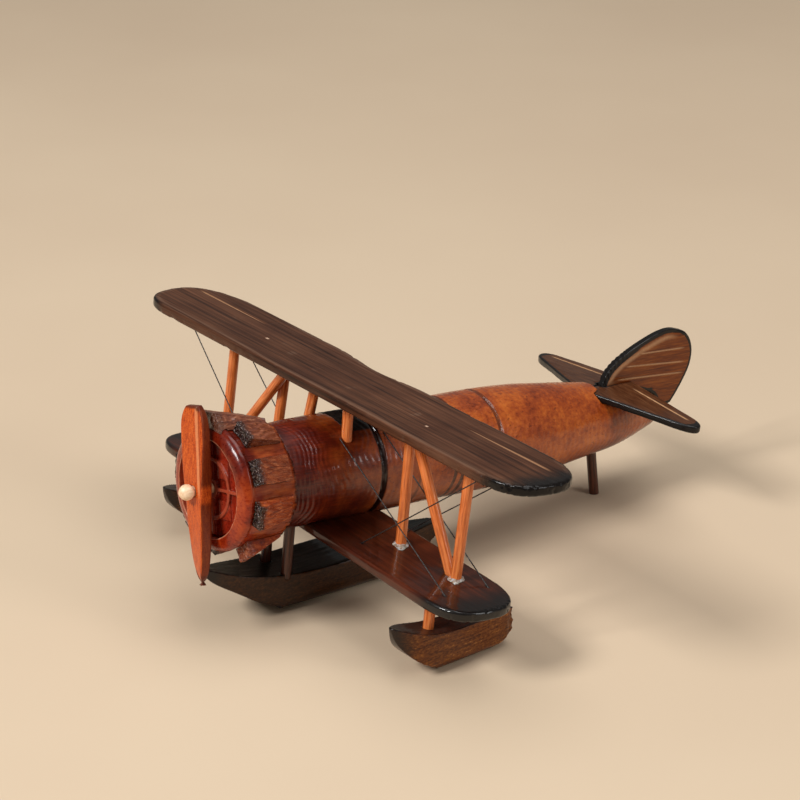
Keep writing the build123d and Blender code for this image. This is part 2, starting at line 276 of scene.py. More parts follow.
# ---- materials ----
class Paint:
    """A material being built, with short names for the nodes that the finishes use."""

    def __init__(self, name, roughness=0.4, coat=0.0, coat_roughness=0.1, specular=0.5):
        self.material = bpy.data.materials.new(name)
        self.material.use_nodes = True
        self.tree = self.material.node_tree
        self.shader = self.tree.nodes["Principled BSDF"]
        self.shader.inputs["Roughness"].default_value = roughness
        self.shader.inputs["Specular IOR Level"].default_value = specular
        self.shader.inputs["Coat Weight"].default_value = coat
        self.shader.inputs["Coat Roughness"].default_value = coat_roughness

    def put(self, socket, value):
        if isinstance(value, bpy.types.NodeSocket):
            self.tree.links.new(value, socket)
        elif isinstance(value, tuple) and len(value) == 3 and socket.type == "RGBA":
            socket.default_value = (*value, 1)
        else:
            socket.default_value = value

    def stored(self, name, vector=False):
        node = self.tree.nodes.new("ShaderNodeAttribute")
        node.attribute_name = name
        return node.outputs["Vector" if vector else "Fac"]

    def place(self):
        return self.stored("place", vector=True)

    def own(self):
        return self.stored("own", vector=True)

    def split(self, vector):
        node = self.tree.nodes.new("ShaderNodeSeparateXYZ")
        self.put(node.inputs[0], vector)
        return node.outputs

    def scaled(self, vector, factors):
        node = self.tree.nodes.new("ShaderNodeVectorMath")
        node.operation = "MULTIPLY"
        self.put(node.inputs[0], vector)
        self.put(node.inputs[1], factors)
        return node.outputs[0]

    def noise(self, vector, scale=1.0, detail=3.0, roughness=0.55, distortion=0.0):
        node = self.tree.nodes.new("ShaderNodeTexNoise")
        self.put(node.inputs["Vector"], vector)
        self.put(node.inputs["Scale"], scale)
        self.put(node.inputs["Detail"], detail)
        self.put(node.inputs["Roughness"], roughness)
        self.put(node.inputs["Distortion"], distortion)
        return node.outputs["Fac"]

    def math(self, operation, first, second=0.0):
        node = self.tree.nodes.new("ShaderNodeMath")
        node.operation = operation
        self.put(node.inputs[0], first)
        self.put(node.inputs[1], second)
        return node.outputs[0]

    def plus(self, first, second, share):
        """The first value and a share of the second."""
        return self.math("ADD", first, self.math("MULTIPLY", second, share))

    def blend(self, first, share, second):
        """A mean of two values: a share of the first and the rest of the second."""
        return self.plus(self.math("MULTIPLY", first, share), second, 1 - share)

    def smooth(self, value, low, high):
        """0 at low, 1 at high, smooth between."""
        node = self.tree.nodes.new("ShaderNodeMapRange")
        node.interpolation_type = "SMOOTHSTEP"
        self.put(node.inputs["Value"], value)
        self.put(node.inputs["From Min"], low)
        self.put(node.inputs["From Max"], high)
        return node.outputs["Result"]

    def band(self, value, centre, half_width):
        """1 near the centre, 0 beyond the half width."""
        gap = self.math("ABSOLUTE", self.math("SUBTRACT", value, centre))
        return self.smooth(gap, half_width, half_width * 0.55)

    def both(self, *masks):
        result = masks[0]
        for mask in masks[1:]:
            result = self.math("MULTIPLY", result, mask)
        return result

    def mix(self, share, first, second, kind="MIX"):
        node = self.tree.nodes.new("ShaderNodeMix")
        node.data_type = "RGBA"
        node.blend_type = kind
        self.put(node.inputs[0], share)
        self.put(node.inputs[6], first)
        self.put(node.inputs[7], second)
        return node.outputs[2]

    def tones(self, value, *stops):
        """Colours along a value from 0 to 1: (place, colour) pairs."""
        node = self.tree.nodes.new("ShaderNodeValToRGB")
        self.put(node.inputs[0], value)
        marks = node.color_ramp.elements
        while len(marks) < len(stops):
            marks.new(0.5)
        for mark, (place, colour) in zip(marks, stops):
            mark.position = place
            mark.color = (*colour, 1)
        return node.outputs["Color"]

    def finish(self, colour, roughness=None, height=None, distance=0.05, strength=1.0):
        """Join colour, roughness and bump, and return the material. distance is in millimetres."""
        self.put(self.shader.inputs["Base Color"], colour)
        if roughness is not None:
            self.put(self.shader.inputs["Roughness"], roughness)
        if height is not None:
            node = self.tree.nodes.new("ShaderNodeBump")
            node.inputs["Strength"].default_value = strength
            node.inputs["Distance"].default_value = distance * MM
            self.put(node.inputs["Height"], height)
            self.put(self.shader.inputs["Normal"], node.outputs[0])
        return self.material


def walnut_wing():
    """Dark open-grained planks: upper wing."""
    p = Paint("walnut", coat=0.22, coat_roughness=0.12, specular=0.12)
    place = p.place()
    x, y, z = p.split(place)
    edge = p.stored("edge")
    streaks = p.noise(p.scaled(place, (0.012, 0.55, 0.3)), detail=6, roughness=0.62, distortion=0.4)
    fine = p.noise(p.scaled(place, (0.05, 2.6, 2.0)), detail=3, roughness=0.6)
    cloud = p.noise(place, 0.03, detail=2)
    grain = p.blend(streaks, 0.7, fine)
    colour = p.tones(grain, (0.36, (0.018, 0.0062, 0.003)), (0.46, (0.066, 0.0240, 0.011)),
                     (0.56, (0.104, 0.0400, 0.019)), (0.68, (0.160, 0.0680, 0.036)))
    colour = p.mix(p.smooth(cloud, 0.35, 0.7), colour, (0.72, 0.66, 0.66), "MULTIPLY")
    span = p.math("ABSOLUTE", x)
    worn = p.both(p.band(edge, 1.5, 1.5), p.smooth(streaks, 0.4, 0.6))
    colour = p.mix(p.math("MULTIPLY", worn, 0.45), colour, (0.17, 0.10, 0.065))
    ragged = p.plus(span, p.noise(place, 0.16, detail=3), 9)
    port_scorch = p.both(p.smooth(ragged, 130, 144), p.smooth(x, 60, 90))
    starboard_scorch = p.both(p.smooth(ragged, 139, 150), p.smooth(x, -60, -90))
    rim = p.both(p.smooth(edge, 1.6, 0.0), p.smooth(ragged, 118, 132))
    scorch = p.math("MAXIMUM", p.math("MAXIMUM", port_scorch, starboard_scorch), rim)
    colour = p.mix(scorch, colour, SCORCH)
    wide = p.plus(0.25, p.smooth(span, 76, 118), 0.75)
    hinge = p.both(p.smooth(p.math("ABSOLUTE", p.math("SUBTRACT", y, upper_hinge)), wide, 0.15),
                   p.smooth(span, 74, 84), p.smooth(span, 132, 124),
                   p.smooth(z, upper_top - 1.5, upper_top - 1.0))
    tan = p.mix(p.noise(p.scaled(place, (0.3, 2, 1))), (0.46, 0.24, 0.12), (0.22, 0.10, 0.05))
    colour = p.mix(hinge, colour, tan)
    nick_far = p.both(p.band(x, -56.7, 1.3), p.band(y, 68.2, 0.8))
    nick_near = p.both(p.band(x, 66.6, 1.0), p.band(y, 64.8, 0.7))
    nick = p.both(p.math("MAXIMUM", nick_far, nick_near), p.smooth(z, upper_top - 1, upper_top - 0.5))
    colour = p.mix(nick, colour, (0.55, 0.36, 0.25))
    roughness = p.plus(0.36, fine, 0.22)
    roughness = p.math("SUBTRACT", roughness, p.math("MULTIPLY", scorch, 0.26))
    return p.finish(colour, roughness, grain, distance=0.25, strength=0.6)


def paint_hole_shade(obj):
    """Store a ring of painted shade round each thread where it enters the piece, standing in for the dark
    hole.
    """
    place = read(obj, "place", 3)
    back = aircraft.inverted()
    mark = np.zeros(len(place))
    for node in nodes:
        if "wire" in node:
            start, end = (np.array(back @ point) for point in line_of(node))
            along = (end - start) / np.linalg.norm(end - start)
            gap = place - start
            off = np.linalg.norm(gap - (gap @ along)[:, None] * along, axis=1)
            mark = np.maximum(mark, ramp(off, 1.15, 0.55))
    store(obj.data, "hole_shade", mark)


def red_brown_wing():
    """Red-brown lacquered plank: lower wing."""
    p = Paint("red_brown", coat=0.6, coat_roughness=0.07, specular=0.15)
    place = p.place()
    x = p.split(place)[0]
    edge = p.stored("edge")
    streaks = p.noise(p.scaled(place, (0.012, 0.4, 0.3)), detail=6, roughness=0.6, distortion=0.5)
    fine = p.noise(p.scaled(place, (0.05, 2.2, 2.0)), detail=3)
    cloud = p.noise(place, 0.05, detail=3)
    grain = p.blend(streaks, 0.72, fine)
    colour = p.tones(grain, (0.34, (0.020, 0.0035, 0.0016)), (0.47, (0.060, 0.011, 0.0032)),
                     (0.58, (0.100, 0.019, 0.0055)), (0.70, (0.170, 0.038, 0.011)))
    colour = p.mix(p.smooth(cloud, 0.35, 0.7), colour, (0.62, 0.55, 0.6), "MULTIPLY")
    span = p.math("ABSOLUTE", x)
    ragged = p.plus(span, cloud, 16)
    rim = p.both(p.smooth(edge, 2.4, 0.2), p.smooth(ragged, 92, 112))
    scorch = p.math("MAXIMUM", p.smooth(ragged, 104, 124), rim)
    # painted shade of the thread holes, blackened like the scorch
    scorch = p.math("MAXIMUM", scorch, p.stored("hole_shade"))
    colour = p.mix(scorch, colour, SCORCH)
    roughness = p.plus(0.24, fine, 0.2)
    return p.finish(colour, roughness, grain, distance=0.12, strength=0.5)


def lacquered_body():
    """Mottled orange-brown lacquer, maroon near the nose, with dark grooves and painted shade underneath:
    fuselage.
    """
    p = Paint("body_lacquer", coat=0.65, coat_roughness=0.1, specular=0.25)
    place = p.place()
    face_up = p.split(p.stored("face", vector=True))[2]
    x, y, z = p.split(place)
    cloud = p.noise(place, 0.055, detail=4, roughness=0.6)
    speckle = p.noise(p.scaled(place, (0.55, 0.4, 0.55)), detail=4, roughness=0.65)
    fibres = p.noise(p.scaled(place, (1.1, 0.12, 1.1)), detail=4, roughness=0.6)
    rear = p.tones(p.blend(cloud, 0.6, speckle),
                   (0.32, (0.125, 0.015, 0.0018)), (0.46, (0.290, 0.048, 0.0050)),
                   (0.56, (0.420, 0.088, 0.0090)), (0.70, (0.560, 0.150, 0.0190)))
    front = p.tones(p.blend(cloud, 0.5, fibres),
                    (0.34, (0.034, 0.0020, 0.0008)), (0.48, (0.082, 0.0056, 0.0018)),
                    (0.60, (0.160, 0.0150, 0.0034)), (0.72, (0.300, 0.0460, 0.0085)))
    along = p.plus(y, cloud, 60)
    colour = p.mix(p.smooth(along, 70, 140), front, rear)
    specks = p.smooth(p.noise(p.scaled(place, (0.8, 0.5, 0.8)), detail=2), 0.62, 0.72)
    colour = p.mix(p.math("MULTIPLY", specks, 0.6), colour, (0.07, 0.008, 0.002))
    colour = p.mix(p.smooth(y, 236, 262), colour, (0.55, 0.42, 0.4), "MULTIPLY")
    for groove, half_width, share in body_rings:
        dark = p.math("MULTIPLY", p.band(y, groove, half_width), share)
        colour = p.mix(dark, colour, (0.014, 0.0035, 0.002))
    ragged = p.plus(z, speckle, 1.6)
    scoop = p.both(p.smooth(y, 63.9, 64.5), p.smooth(y, 79.5, 78.5), p.smooth(ragged, 19.4, 20.8),
                   p.smooth(p.math("ABSOLUTE", x), 13.5, 12.5))
    colour = p.mix(scoop, colour, SCORCH)
    # painted shade: faces turned downwards are darkened towards near black
    underside_shade = p.smooth(face_up, -0.2, -0.9)
    colour = p.mix(p.math("MULTIPLY", underside_shade, 0.55), colour, (0.05, 0.006, 0.002))
    roughness = p.plus(0.26, speckle, 0.22)
    height = p.plus(p.math("MULTIPLY", speckle, 0.7), fibres, 0.5)
    return p.finish(colour, roughness, height, distance=0.2, strength=0.45)


def cowl_lacquer(name, coat):
    """Orange-red gloss lip and band, deep red in the recess, with painted highlights on the rim and raised
    parts and painted shade at the back edge: cowl and engine face.
    """
    p = Paint(name, coat=coat, coat_roughness=0.08, specular=0.2)
    place = p.place()
    _, y, z = p.split(place)
    flat = p.scaled(place, (1, 0, 1))
    reach = p.tree.nodes.new("ShaderNodeVectorMath")
    reach.operation = "LENGTH"
    p.put(reach.inputs[0], flat)
    radius = reach.outputs["Value"]
    cloud = p.noise(place, 0.07, detail=4, roughness=0.6)
    fibres = p.noise(p.scaled(place, (0.7, 0.12, 0.7)), detail=4, roughness=0.6)
    value = p.blend(cloud, 0.55, fibres)
    lip = p.tones(value, (0.34, (0.120, 0.0060, 0.0012)), (0.48, (0.260, 0.0200, 0.0028)),
                  (0.62, (0.400, 0.0520, 0.0060)), (0.74, (0.520, 0.0950, 0.0110)))
    band = p.tones(value, (0.34, (0.110, 0.0120, 0.0028)), (0.48, (0.280, 0.0430, 0.0075)),
                   (0.60, (0.420, 0.0900, 0.0160)), (0.74, (0.520, 0.1400, 0.0320)))
    recess = p.tones(value, (0.36, (0.090, 0.0048, 0.0018)), (0.52, (0.230, 0.0140, 0.0040)),
                     (0.68, (0.400, 0.0360, 0.0080)))
    lip = p.mix(p.smooth(z, 0, 18), lip, (0.45, 0.34, 0.28), "MULTIPLY")
    colour = p.mix(p.smooth(p.plus(y, cloud, 6), 11, 15), lip, band)
    inside = p.both(p.smooth(radius, recess_radius + 0.6, recess_radius - 0.4), p.smooth(y, 9, 7))
    colour = p.mix(inside, colour, recess)
    # painted highlight: the fronts of the raised pads and spokes on the engine face are lightened
    raised_highlight = p.both(inside, p.smooth(y, 3.1, 2.1))
    colour = p.mix(p.math("MULTIPLY", raised_highlight, 0.55), colour, (0.40, 0.085, 0.040))
    # painted highlight: a pale ring all round the recess rim
    rim = p.both(p.band(radius, recess_radius, 0.7), p.smooth(y, 1.0, 0.3))
    colour = p.mix(p.math("MULTIPLY", rim, 0.5), colour, (0.66, 0.30, 0.17))
    # painted shade: dark patches at the back edge, where the cowl steps down to the body
    colour = p.mix(p.both(p.smooth(y, 26.5, 28.6), p.smooth(value, 0.7, 0.4)), colour, (0.03, 0.004, 0.002))
    roughness = p.plus(0.2, fibres, 0.18)
    return p.finish(colour, roughness, value, distance=0.25, strength=0.35)


def scorched_block():
    """Scratched brown tops and charred fronts with painted glints: cylinder blocks."""
    p = Paint("charred_wood", coat=0.55, coat_roughness=0.08, specular=0.25)
    place = p.place()
    own = p.own()
    char = p.stored("char")
    tone = p.stored("tone")
    scratches = p.noise(p.scaled(own, (1.3, 0.35, 0.5)), detail=6, roughness=0.7, distortion=1.6)
    grain = p.noise(p.scaled(own, (1.6, 0.10, 0.6)), detail=5, roughness=0.65)
    brown = p.tones(p.blend(scratches, 0.55, grain),
                    (0.36, (0.040, 0.0080, 0.0035)), (0.46, (0.120, 0.0300, 0.0120)),
                    (0.55, (0.230, 0.0720, 0.0320)), (0.66, (0.480, 0.2300, 0.1300)))
    red = p.tones(p.blend(scratches, 0.4, grain),
                  (0.38, (0.120, 0.0110, 0.0025)), (0.50, (0.330, 0.0480, 0.0090)),
                  (0.62, (0.620, 0.1600, 0.0420)))
    colour = p.mix(tone, brown, red)
    soot = p.noise(place, 1.1, detail=4, roughness=0.7)
    # char; the palest step of the ramp makes pale specks, which are painted glints
    char_and_glints = p.tones(soot, (0.42, (0.004, 0.0025, 0.002)), (0.56, (0.026, 0.0130, 0.010)),
                    (0.66, (0.380, 0.2900, 0.2700)))
    colour = p.mix(char, colour, char_and_glints)
    roughness = p.math("SUBTRACT", 0.42, p.math("MULTIPLY", char, 0.2))
    height = p.plus(scratches, soot, char)
    return p.finish(colour, roughness, height, distance=0.35, strength=0.6)


def dowel_wood(name, dark, middle, light, coat, blotch):
    """Straight-grained stained dowel. The grain runs along the stored third axis."""
    p = Paint(name, coat=coat, coat_roughness=0.15, specular=0.3)
    own = p.own()
    grain = p.noise(p.scaled(own, (1.5, 1.5, 0.07)), detail=5, roughness=0.65)
    cloud = p.noise(own, 0.09, detail=3)
    colour = p.tones(grain, (0.34, dark), (0.50, middle), (0.66, light))
    colour = p.mix(p.math("MULTIPLY", p.smooth(cloud, 0.45, 0.7), blotch), colour, dark)
    pores = p.smooth(p.noise(p.scaled(own, (3.0, 3.0, 0.25)), detail=2), 0.62, 0.7)
    colour = p.mix(p.math("MULTIPLY", pores, 0.45), colour, dark)
    roughness = p.plus(0.3, grain, 0.25)
    return p.finish(colour, roughness, grain, distance=0.12, strength=0.5)


def propeller_wood():
    """Bright orange speckled wood, burnt tips and sides, a pale ridge on the upper blade: propeller."""
    p = Paint("propeller_orange", coat=0.25, coat_roughness=0.15, specular=0.2)
    place = p.place()
    x, _, z = p.split(place)
    edge = p.stored("edge")
    grain = p.noise(p.scaled(place, (1.4, 1.4, 0.16)), detail=5, roughness=0.65)
    speckle = p.noise(place, 1.5, detail=3, roughness=0.6)
    value = p.blend(grain, 0.55, speckle)
    colour = p.tones(value, (0.36, (0.250, 0.0260, 0.0022)), (0.48, (0.480, 0.0660, 0.0060)),
                     (0.58, (0.600, 0.1050, 0.0110)), (0.70, (0.720, 0.1800, 0.0300)))
    face_x, face_y, face_z = p.split(p.stored("face", vector=True))
    across = p.plus(p.math("MULTIPLY", x, cos(propeller_lean)), z, sin(propeller_lean))
    sideways = p.plus(p.math("MULTIPLY", face_x, cos(propeller_lean)), face_z, sin(propeller_lean))
    above = p.both(p.smooth(face_y, -0.3, -0.8), p.smooth(z, -3, 3))
    leaning = p.plus(across, z, ridge_slope)
    pale = p.both(p.band(leaning, ridge_place - 1.1, 1.0), above)
    colour = p.mix(p.math("MULTIPLY", pale, 0.45), colour, (0.80, 0.36, 0.16))
    line = p.both(p.band(leaning, ridge_place + 0.1, 0.5), above)
    colour = p.mix(p.math("MULTIPLY", line, 0.5), colour, (0.20, 0.022, 0.003))
    ends = p.plus(p.math("ABSOLUTE", z), speckle, 3)
    tips = p.both(p.smooth(ends, 35.5, 38.0), p.smooth(edge, 1.7, 0.5))
    off_hub = p.smooth(p.math("ABSOLUTE", z), 2, 5)
    sides = p.both(p.smooth(p.math("ABSOLUTE", sideways), 0.5, 0.8), off_hub)
    burnt = p.math("MAXIMUM", tips, p.math("MULTIPLY", sides, 0.85))
    colour = p.mix(p.math("MULTIPLY", burnt, 0.85), colour, (0.045, 0.005, 0.002))
    roughness = p.plus(0.34, speckle, 0.2)
    return p.finish(colour, roughness, value, distance=0.2, strength=0.5)


def pale_peg():
    """Pale straight-grained wood: propeller peg."""
    p = Paint("peg_birch", coat=0.15, coat_roughness=0.35)
    own = p.own()
    grain = p.noise(p.scaled(own, (0.9, 0.9, 0.12)), detail=4)
    colour = p.tones(grain, (0.36, (0.78, 0.52, 0.31)), (0.5, (0.88, 0.63, 0.41)),
                     (0.66, (0.94, 0.72, 0.50)))
    return p.finish(colour, p.plus(0.38, grain, 0.15), grain, distance=0.08)


def float_wood():
    """Black-green decks, brown grainy sides, dark noses: floats."""
    p = Paint("float_stain", coat=0.4, coat_roughness=0.07, specular=0.15)
    place = p.place()
    face_up = p.split(p.stored("face", vector=True))[2]
    grain = p.noise(p.scaled(place, (1.2, 0.05, 1.0)), detail=5, roughness=0.65)
    speckle = p.noise(p.scaled(place, (1.4, 0.7, 1.4)), detail=3, roughness=0.6)
    cloud = p.noise(place, 0.06, detail=3)
    value = p.blend(grain, 0.5, speckle)
    small = p.stored("small")
    warm = p.tones(value, (0.36, (0.035, 0.0070, 0.0008)), (0.48, (0.120, 0.0280, 0.0022)),
                   (0.58, (0.210, 0.0600, 0.0060)), (0.68, (0.420, 0.1700, 0.0360)))
    dull = p.tones(value, (0.36, (0.010, 0.0028, 0.0006)), (0.50, (0.036, 0.0095, 0.0012)),
                   (0.60, (0.064, 0.0200, 0.0030)), (0.72, (0.110, 0.0420, 0.0090)))
    side = p.mix(small, dull, warm)
    deck = p.tones(grain, (0.36, (0.0035, 0.0040, 0.0025)), (0.52, (0.0110, 0.0120, 0.0070)),
                   (0.70, (0.0300, 0.0300, 0.0180)))
    brown_deck = p.tones(grain, (0.36, (0.012, 0.0035, 0.002)), (0.6, (0.050, 0.0150, 0.008)))
    colour = p.mix(p.smooth(face_up, 0.55, 0.8), side, p.mix(small, deck, brown_deck))
    nose = p.smooth(p.plus(p.stored("nose"), cloud, 8), 16, 6)
    colour = p.mix(p.math("MULTIPLY", nose, 0.93), colour, SCORCH)
    roughness = p.plus(0.26, speckle, 0.24)
    return p.finish(colour, roughness, value, distance=0.2, strength=0.5)


def tail_wood():
    """Golden-brown planks with black rims, pale carved lines, a painted highlight on the fin's bevel and
    painted shade under the stabilizers: fin and stabilizers.
    """
    p = Paint("tail_stain", coat=0.35, coat_roughness=0.08, specular=0.15)
    place = p.place()
    own = p.own()
    grain = p.noise(p.scaled(own, (0.05, 0.9, 0.9)), detail=6, roughness=0.62, distortion=0.5)
    fine = p.noise(p.scaled(own, (0.16, 3.0, 3.0)), detail=3)
    value = p.blend(grain, 0.65, fine)
    golden = p.tones(value, (0.35, (0.068, 0.0100, 0.0008)), (0.48, (0.150, 0.0290, 0.0022)),
                     (0.58, (0.220, 0.0520, 0.0042)), (0.70, (0.320, 0.1000, 0.0130)))
    brown = p.tones(value, (0.35, (0.026, 0.0070, 0.0022)), (0.48, (0.068, 0.0210, 0.0070)),
                    (0.58, (0.105, 0.0380, 0.0140)), (0.70, (0.165, 0.0700, 0.0300)))
    colour = p.mix(p.stored("golden"), brown, golden)
    # pale carved lines, and on the fin a painted highlight along the bevel
    line = p.mix(p.noise(place, detail=2), (0.62, 0.36, 0.19), (0.40, 0.20, 0.09))
    colour = p.mix(p.stored("line"), colour, line)
    # scorched rims and edges, and on the stabilizers painted shade on the underside
    ragged = p.plus(p.stored("scorch"), p.math("SUBTRACT", fine, 0.5), 0.25)
    colour = p.mix(p.smooth(ragged, 0.35, 0.65), colour, SCORCH)
    roughness = p.plus(0.26, fine, 0.24)
    return p.finish(colour, roughness, value, distance=0.15, strength=0.5)


def black_thread():
    """Matt black fibre: threads."""
    p = Paint("thread_black")
    own = p.own()
    fuzz = p.noise(p.scaled(own, (3, 3, 1.2)), detail=3)
    colour = p.tones(fuzz, (0.35, (0.006, 0.005, 0.005)), (0.65, (0.03, 0.026, 0.024)))
    return p.finish(colour, p.plus(0.35, fuzz, 0.2), fuzz, distance=0.05)


def dried_glue():
    """Cloudy, glossy blobs with a little light passing through: glue."""
    p = Paint("glue_dry", roughness=0.25, coat=0.5, coat_roughness=0.12)
    p.shader.inputs["Subsurface Weight"].default_value = 0.3
    own = p.own()
    cloud = p.noise(own, 0.8, detail=3)
    colour = p.tones(cloud, (0.35, (0.36, 0.20, 0.13)), (0.5, (0.62, 0.47, 0.38)),
                     (0.65, (0.82, 0.74, 0.66)))
    return p.finish(colour, None, cloud, distance=0.2)


# ---- carving of each piece: the height added at each point, in millimetres ----
def body_relief(points, normals, edge):
    """Wavy chisel rings behind the cowl, soft flats elsewhere."""
    x, y, z = points.T
    turn = np.arctan2(z, x)
    wander = smooth_noise(points, (7, 12, 7), 3) * 2.2 + 0.6 * np.sin(turn * 5)
    rings = np.sin((y + wander) * 2 * pi / 2.5)
    fade = ramp(y, 54, 40) * ramp(smooth_noise(points, 11, 5), -0.8, 0.2)
    chatter = 0.05 * np.sin((y + wander) * 2 * pi / 3.1) * ramp(y, 44, 60)
    flats = 0.16 * smooth_noise(points, (9, 16, 9), 7) + 0.05 * smooth_noise(points, (3, 5, 3), 8)
    return flats + fade * (0.27 * rings - 0.16) + chatter - 0.12


def block_angle(node):
    """Where a block stands round the cowl, in radians from port towards the top."""
    points = moved(points_of(nodes[node].data), aircraft.inverted())
    middle = (points.max(axis=0) + points.min(axis=0)) / 2
    return atan2(middle[2], middle[0])


def cowl_relief(points, normals, edge):
    """Flats between the blocks, a dented lip and notches at the back edge."""
    x, y, z = points.T
    turn = np.arctan2(z, x)
    gaps = [np.abs((turn - block_angle(node) + pi) % (2 * pi) - pi) for node in blocks]
    between = 1 - np.clip(np.degrees(np.min(gaps, axis=0)) / 18, 0, 1)
    on_band = ramp(y, 5, 7) * ramp(np.hypot(x, z), 25.5, 27)
    flat_panel = -0.35 * on_band * ramp(between, 0.5, 0.0)
    lip_dents = 0.14 * smooth_noise(points, 7, 11) + 0.05 * smooth_noise(points, 2.5, 12)
    notches = -0.5 * ramp(y, 26.5, 28.5) * on_band * ramp(smooth_noise(points, (3, 30, 3), 13), 0.0, 0.6)
    return flat_panel + lip_dents + notches - 0.15


def face_relief(points, normals, edge):
    """Faint unevenness on the engine face."""
    return 0.07 * smooth_noise(points, 4, 15) - 0.07


def upper_wing_relief(points, normals, edge):
    """Open grain, slight waves, a knocked rim and pits near the port tip."""
    x = points[:, 0]
    grain = 0.05 * smooth_noise(points, (60, 0.9, 3), 21) + 0.05 * smooth_noise(points, (90, 2.2, 4), 22)
    waves = 0.12 * smooth_noise(points, (30, 14, 30), 23)
    knocks = -0.35 * ramp(smooth_noise(points, (5, 3, 3), 24), 0.45, 0.9) * ramp(edge, 1.8, 0.2)
    pits = -0.4 * ramp(smooth_noise(points, 1.5, 25), 0.2, 0.8) * ramp(edge, 3, 0.5) * ramp(x, 112, 124)
    return grain + waves + knocks + pits - 0.1


def lower_wing_relief(points, normals, edge):
    """Slight waves and pits near the port tip."""
    x = points[:, 0]
    waves = 0.16 * smooth_noise(points, (24, 10, 24), 31) + 0.04 * smooth_noise(points, (40, 1.6, 3), 32)
    pits = -0.35 * ramp(smooth_noise(points, 1.6, 33), 0.3, 0.8) * ramp(edge, 2.6, 0.4) * ramp(x, 98, 106)
    return waves + pits - 0.12


def propeller_relief(points, normals, edge):
    """Knife facets, and on the upper blade a slanting groove with a bevel beyond it."""
    x, _, z = points.T
    across = x * cos(propeller_lean) + z * sin(propeller_lean) + z * ridge_slope
    front = ramp(-normals[:, 1], 0.3, 0.8) * ramp(z, -3, 3)
    groove = -0.32 * bump(across, ridge_place, 0.8) * front
    bevel = -0.45 * ramp(across, ridge_place, ridge_place + 2.5) * front
    facets = 0.1 * smooth_noise(points, (5, 5, 12), 41) + 0.04 * smooth_noise(points, (1.5, 1.5, 6), 42)
    calm = ramp(z, -42, -37)
    return calm * (facets + groove + bevel - 0.14)


def float_relief(points, normals, edge):
    """Grain along the hull and long, soft unevenness."""
    grain = 0.05 * smooth_noise(points, (1.3, 30, 1.3), 51) + 0.12 * smooth_noise(points, (9, 18, 9), 52)
    return grain - 0.1


def rough_stern_relief(points, normals, edge):
    """The tip floats' sterns are left rough from the saw and the flame."""
    stern = points[:, 1].max()
    at_stern = ramp(points[:, 1], stern - 5, stern - 1)
    return float_relief(points, normals, edge) - at_stern * (0.55 + 0.5 * rough_noise(points, 2.2, 53))


def fin_relief(points, normals, edge):
    """A bevel along the leading edge, with knife cuts at its foot, and three carved lines."""
    _, y, z = points.T
    front = fin_front(points)
    bevel = -0.75 * ramp(edge, 6.0, 1.0) * front
    spacing = (y * 1.1 + z * 0.4) * 2.0 + 2.4 * smooth_noise(points, 5, 62)
    cuts = -0.3 * ramp(edge, 3.4, 1.2) * front * ramp(y, 247, 237) * (0.5 + 0.5 * np.sin(spacing))
    lines = -0.3 * fin_lines(points)
    return bevel + cuts + lines + 0.05 * smooth_noise(points, (3, 20, 2), 61) - 0.05


def fin_front(points):
    """1 along the leading edge, 0 behind a line from the root to the top of the fin."""
    _, y, z = points.T
    return ramp(z - (12.6 + (y - 227) * 0.50), -2, 4)


def fin_lines(points):
    """Three shallow cuts across the rudder, running aft and slightly spreading."""
    _, y, z = points.T
    mask = np.zeros(len(points))
    for start_y, start_z, end_y, end_z in fin_cuts:
        height = start_z + (y - start_y) * (end_z - start_z) / (end_y - start_y)
        mask = np.maximum(mask, bump(z, height, 0.6) * ramp(y, start_y - 2, start_y + 3)
                          * ramp(y, end_y + 2, end_y - 3))
    return mask


def stabilizer_relief(points, normals, edge):
    """A bevel along the front of the leading edge, and grain."""
    bevel = -0.35 * ramp(edge, 2.6, 0.8) * ramp(points[:, 1], 236, 226)
    return bevel + 0.05 * smooth_noise(points, (20, 1.5, 2), 71) + 0.08 * smooth_noise(points, 9, 72) - 0.08


# ---- dowels, threads, peg and glue ----
def line_of(node):
    """The two ends of a round CAD rod, lower end first, from its own vertices, in metres."""
    points = points_of(nodes[node].data)
    middle = (points.max(axis=0) + points.min(axis=0)) / 2
    along = np.linalg.svd(points - points.mean(axis=0), full_matrices=False)[2][0]
    if along[2] < 0:
        along = -along
    places = (points - middle) @ along
    across = points - middle - places[:, None] * along
    middle = middle + across.mean(axis=0)
    return Vector(middle + along * places.min()), Vector(middle + along * places.max())


def tube(name, start, end, radius_at, rings, sides):
    """A round piece from start to end. radius_at(share, angle) is its radius in metres."""
    axis = (end - start).normalized()
    side = axis.orthogonal().normalized()
    other = axis.cross(side)
    length = (end - start).length
    verts, own = [], []
    for ring in range(rings + 1):
        share = ring / rings
        for step in range(sides):
            angle = 2 * pi * step / sides
            radius = radius_at(share, angle)
            offset = side * cos(angle) * radius + other * sin(angle) * radius
            verts.append(start + axis * length * share + offset)
            own.append((cos(angle) * radius / MM, sin(angle) * radius / MM, length * share / MM))
    faces = []
    for low in range(0, rings * sides, sides):
        high = low + sides
        faces += [(low + s, low + (s + 1) % sides, high + (s + 1) % sides, high + s) for s in range(sides)]
    faces += [tuple(reversed(range(sides))), tuple(range(rings * sides, (rings + 1) * sides))]
    mesh = bpy.data.meshes.new(name)
    mesh.from_pydata([tuple(v) for v in verts], [], faces)
    mesh.polygons.foreach_set("use_smooth", [True] * (len(faces) - 2) + [False] * 2)
    store(mesh, "own", np.array(own))
    return mesh


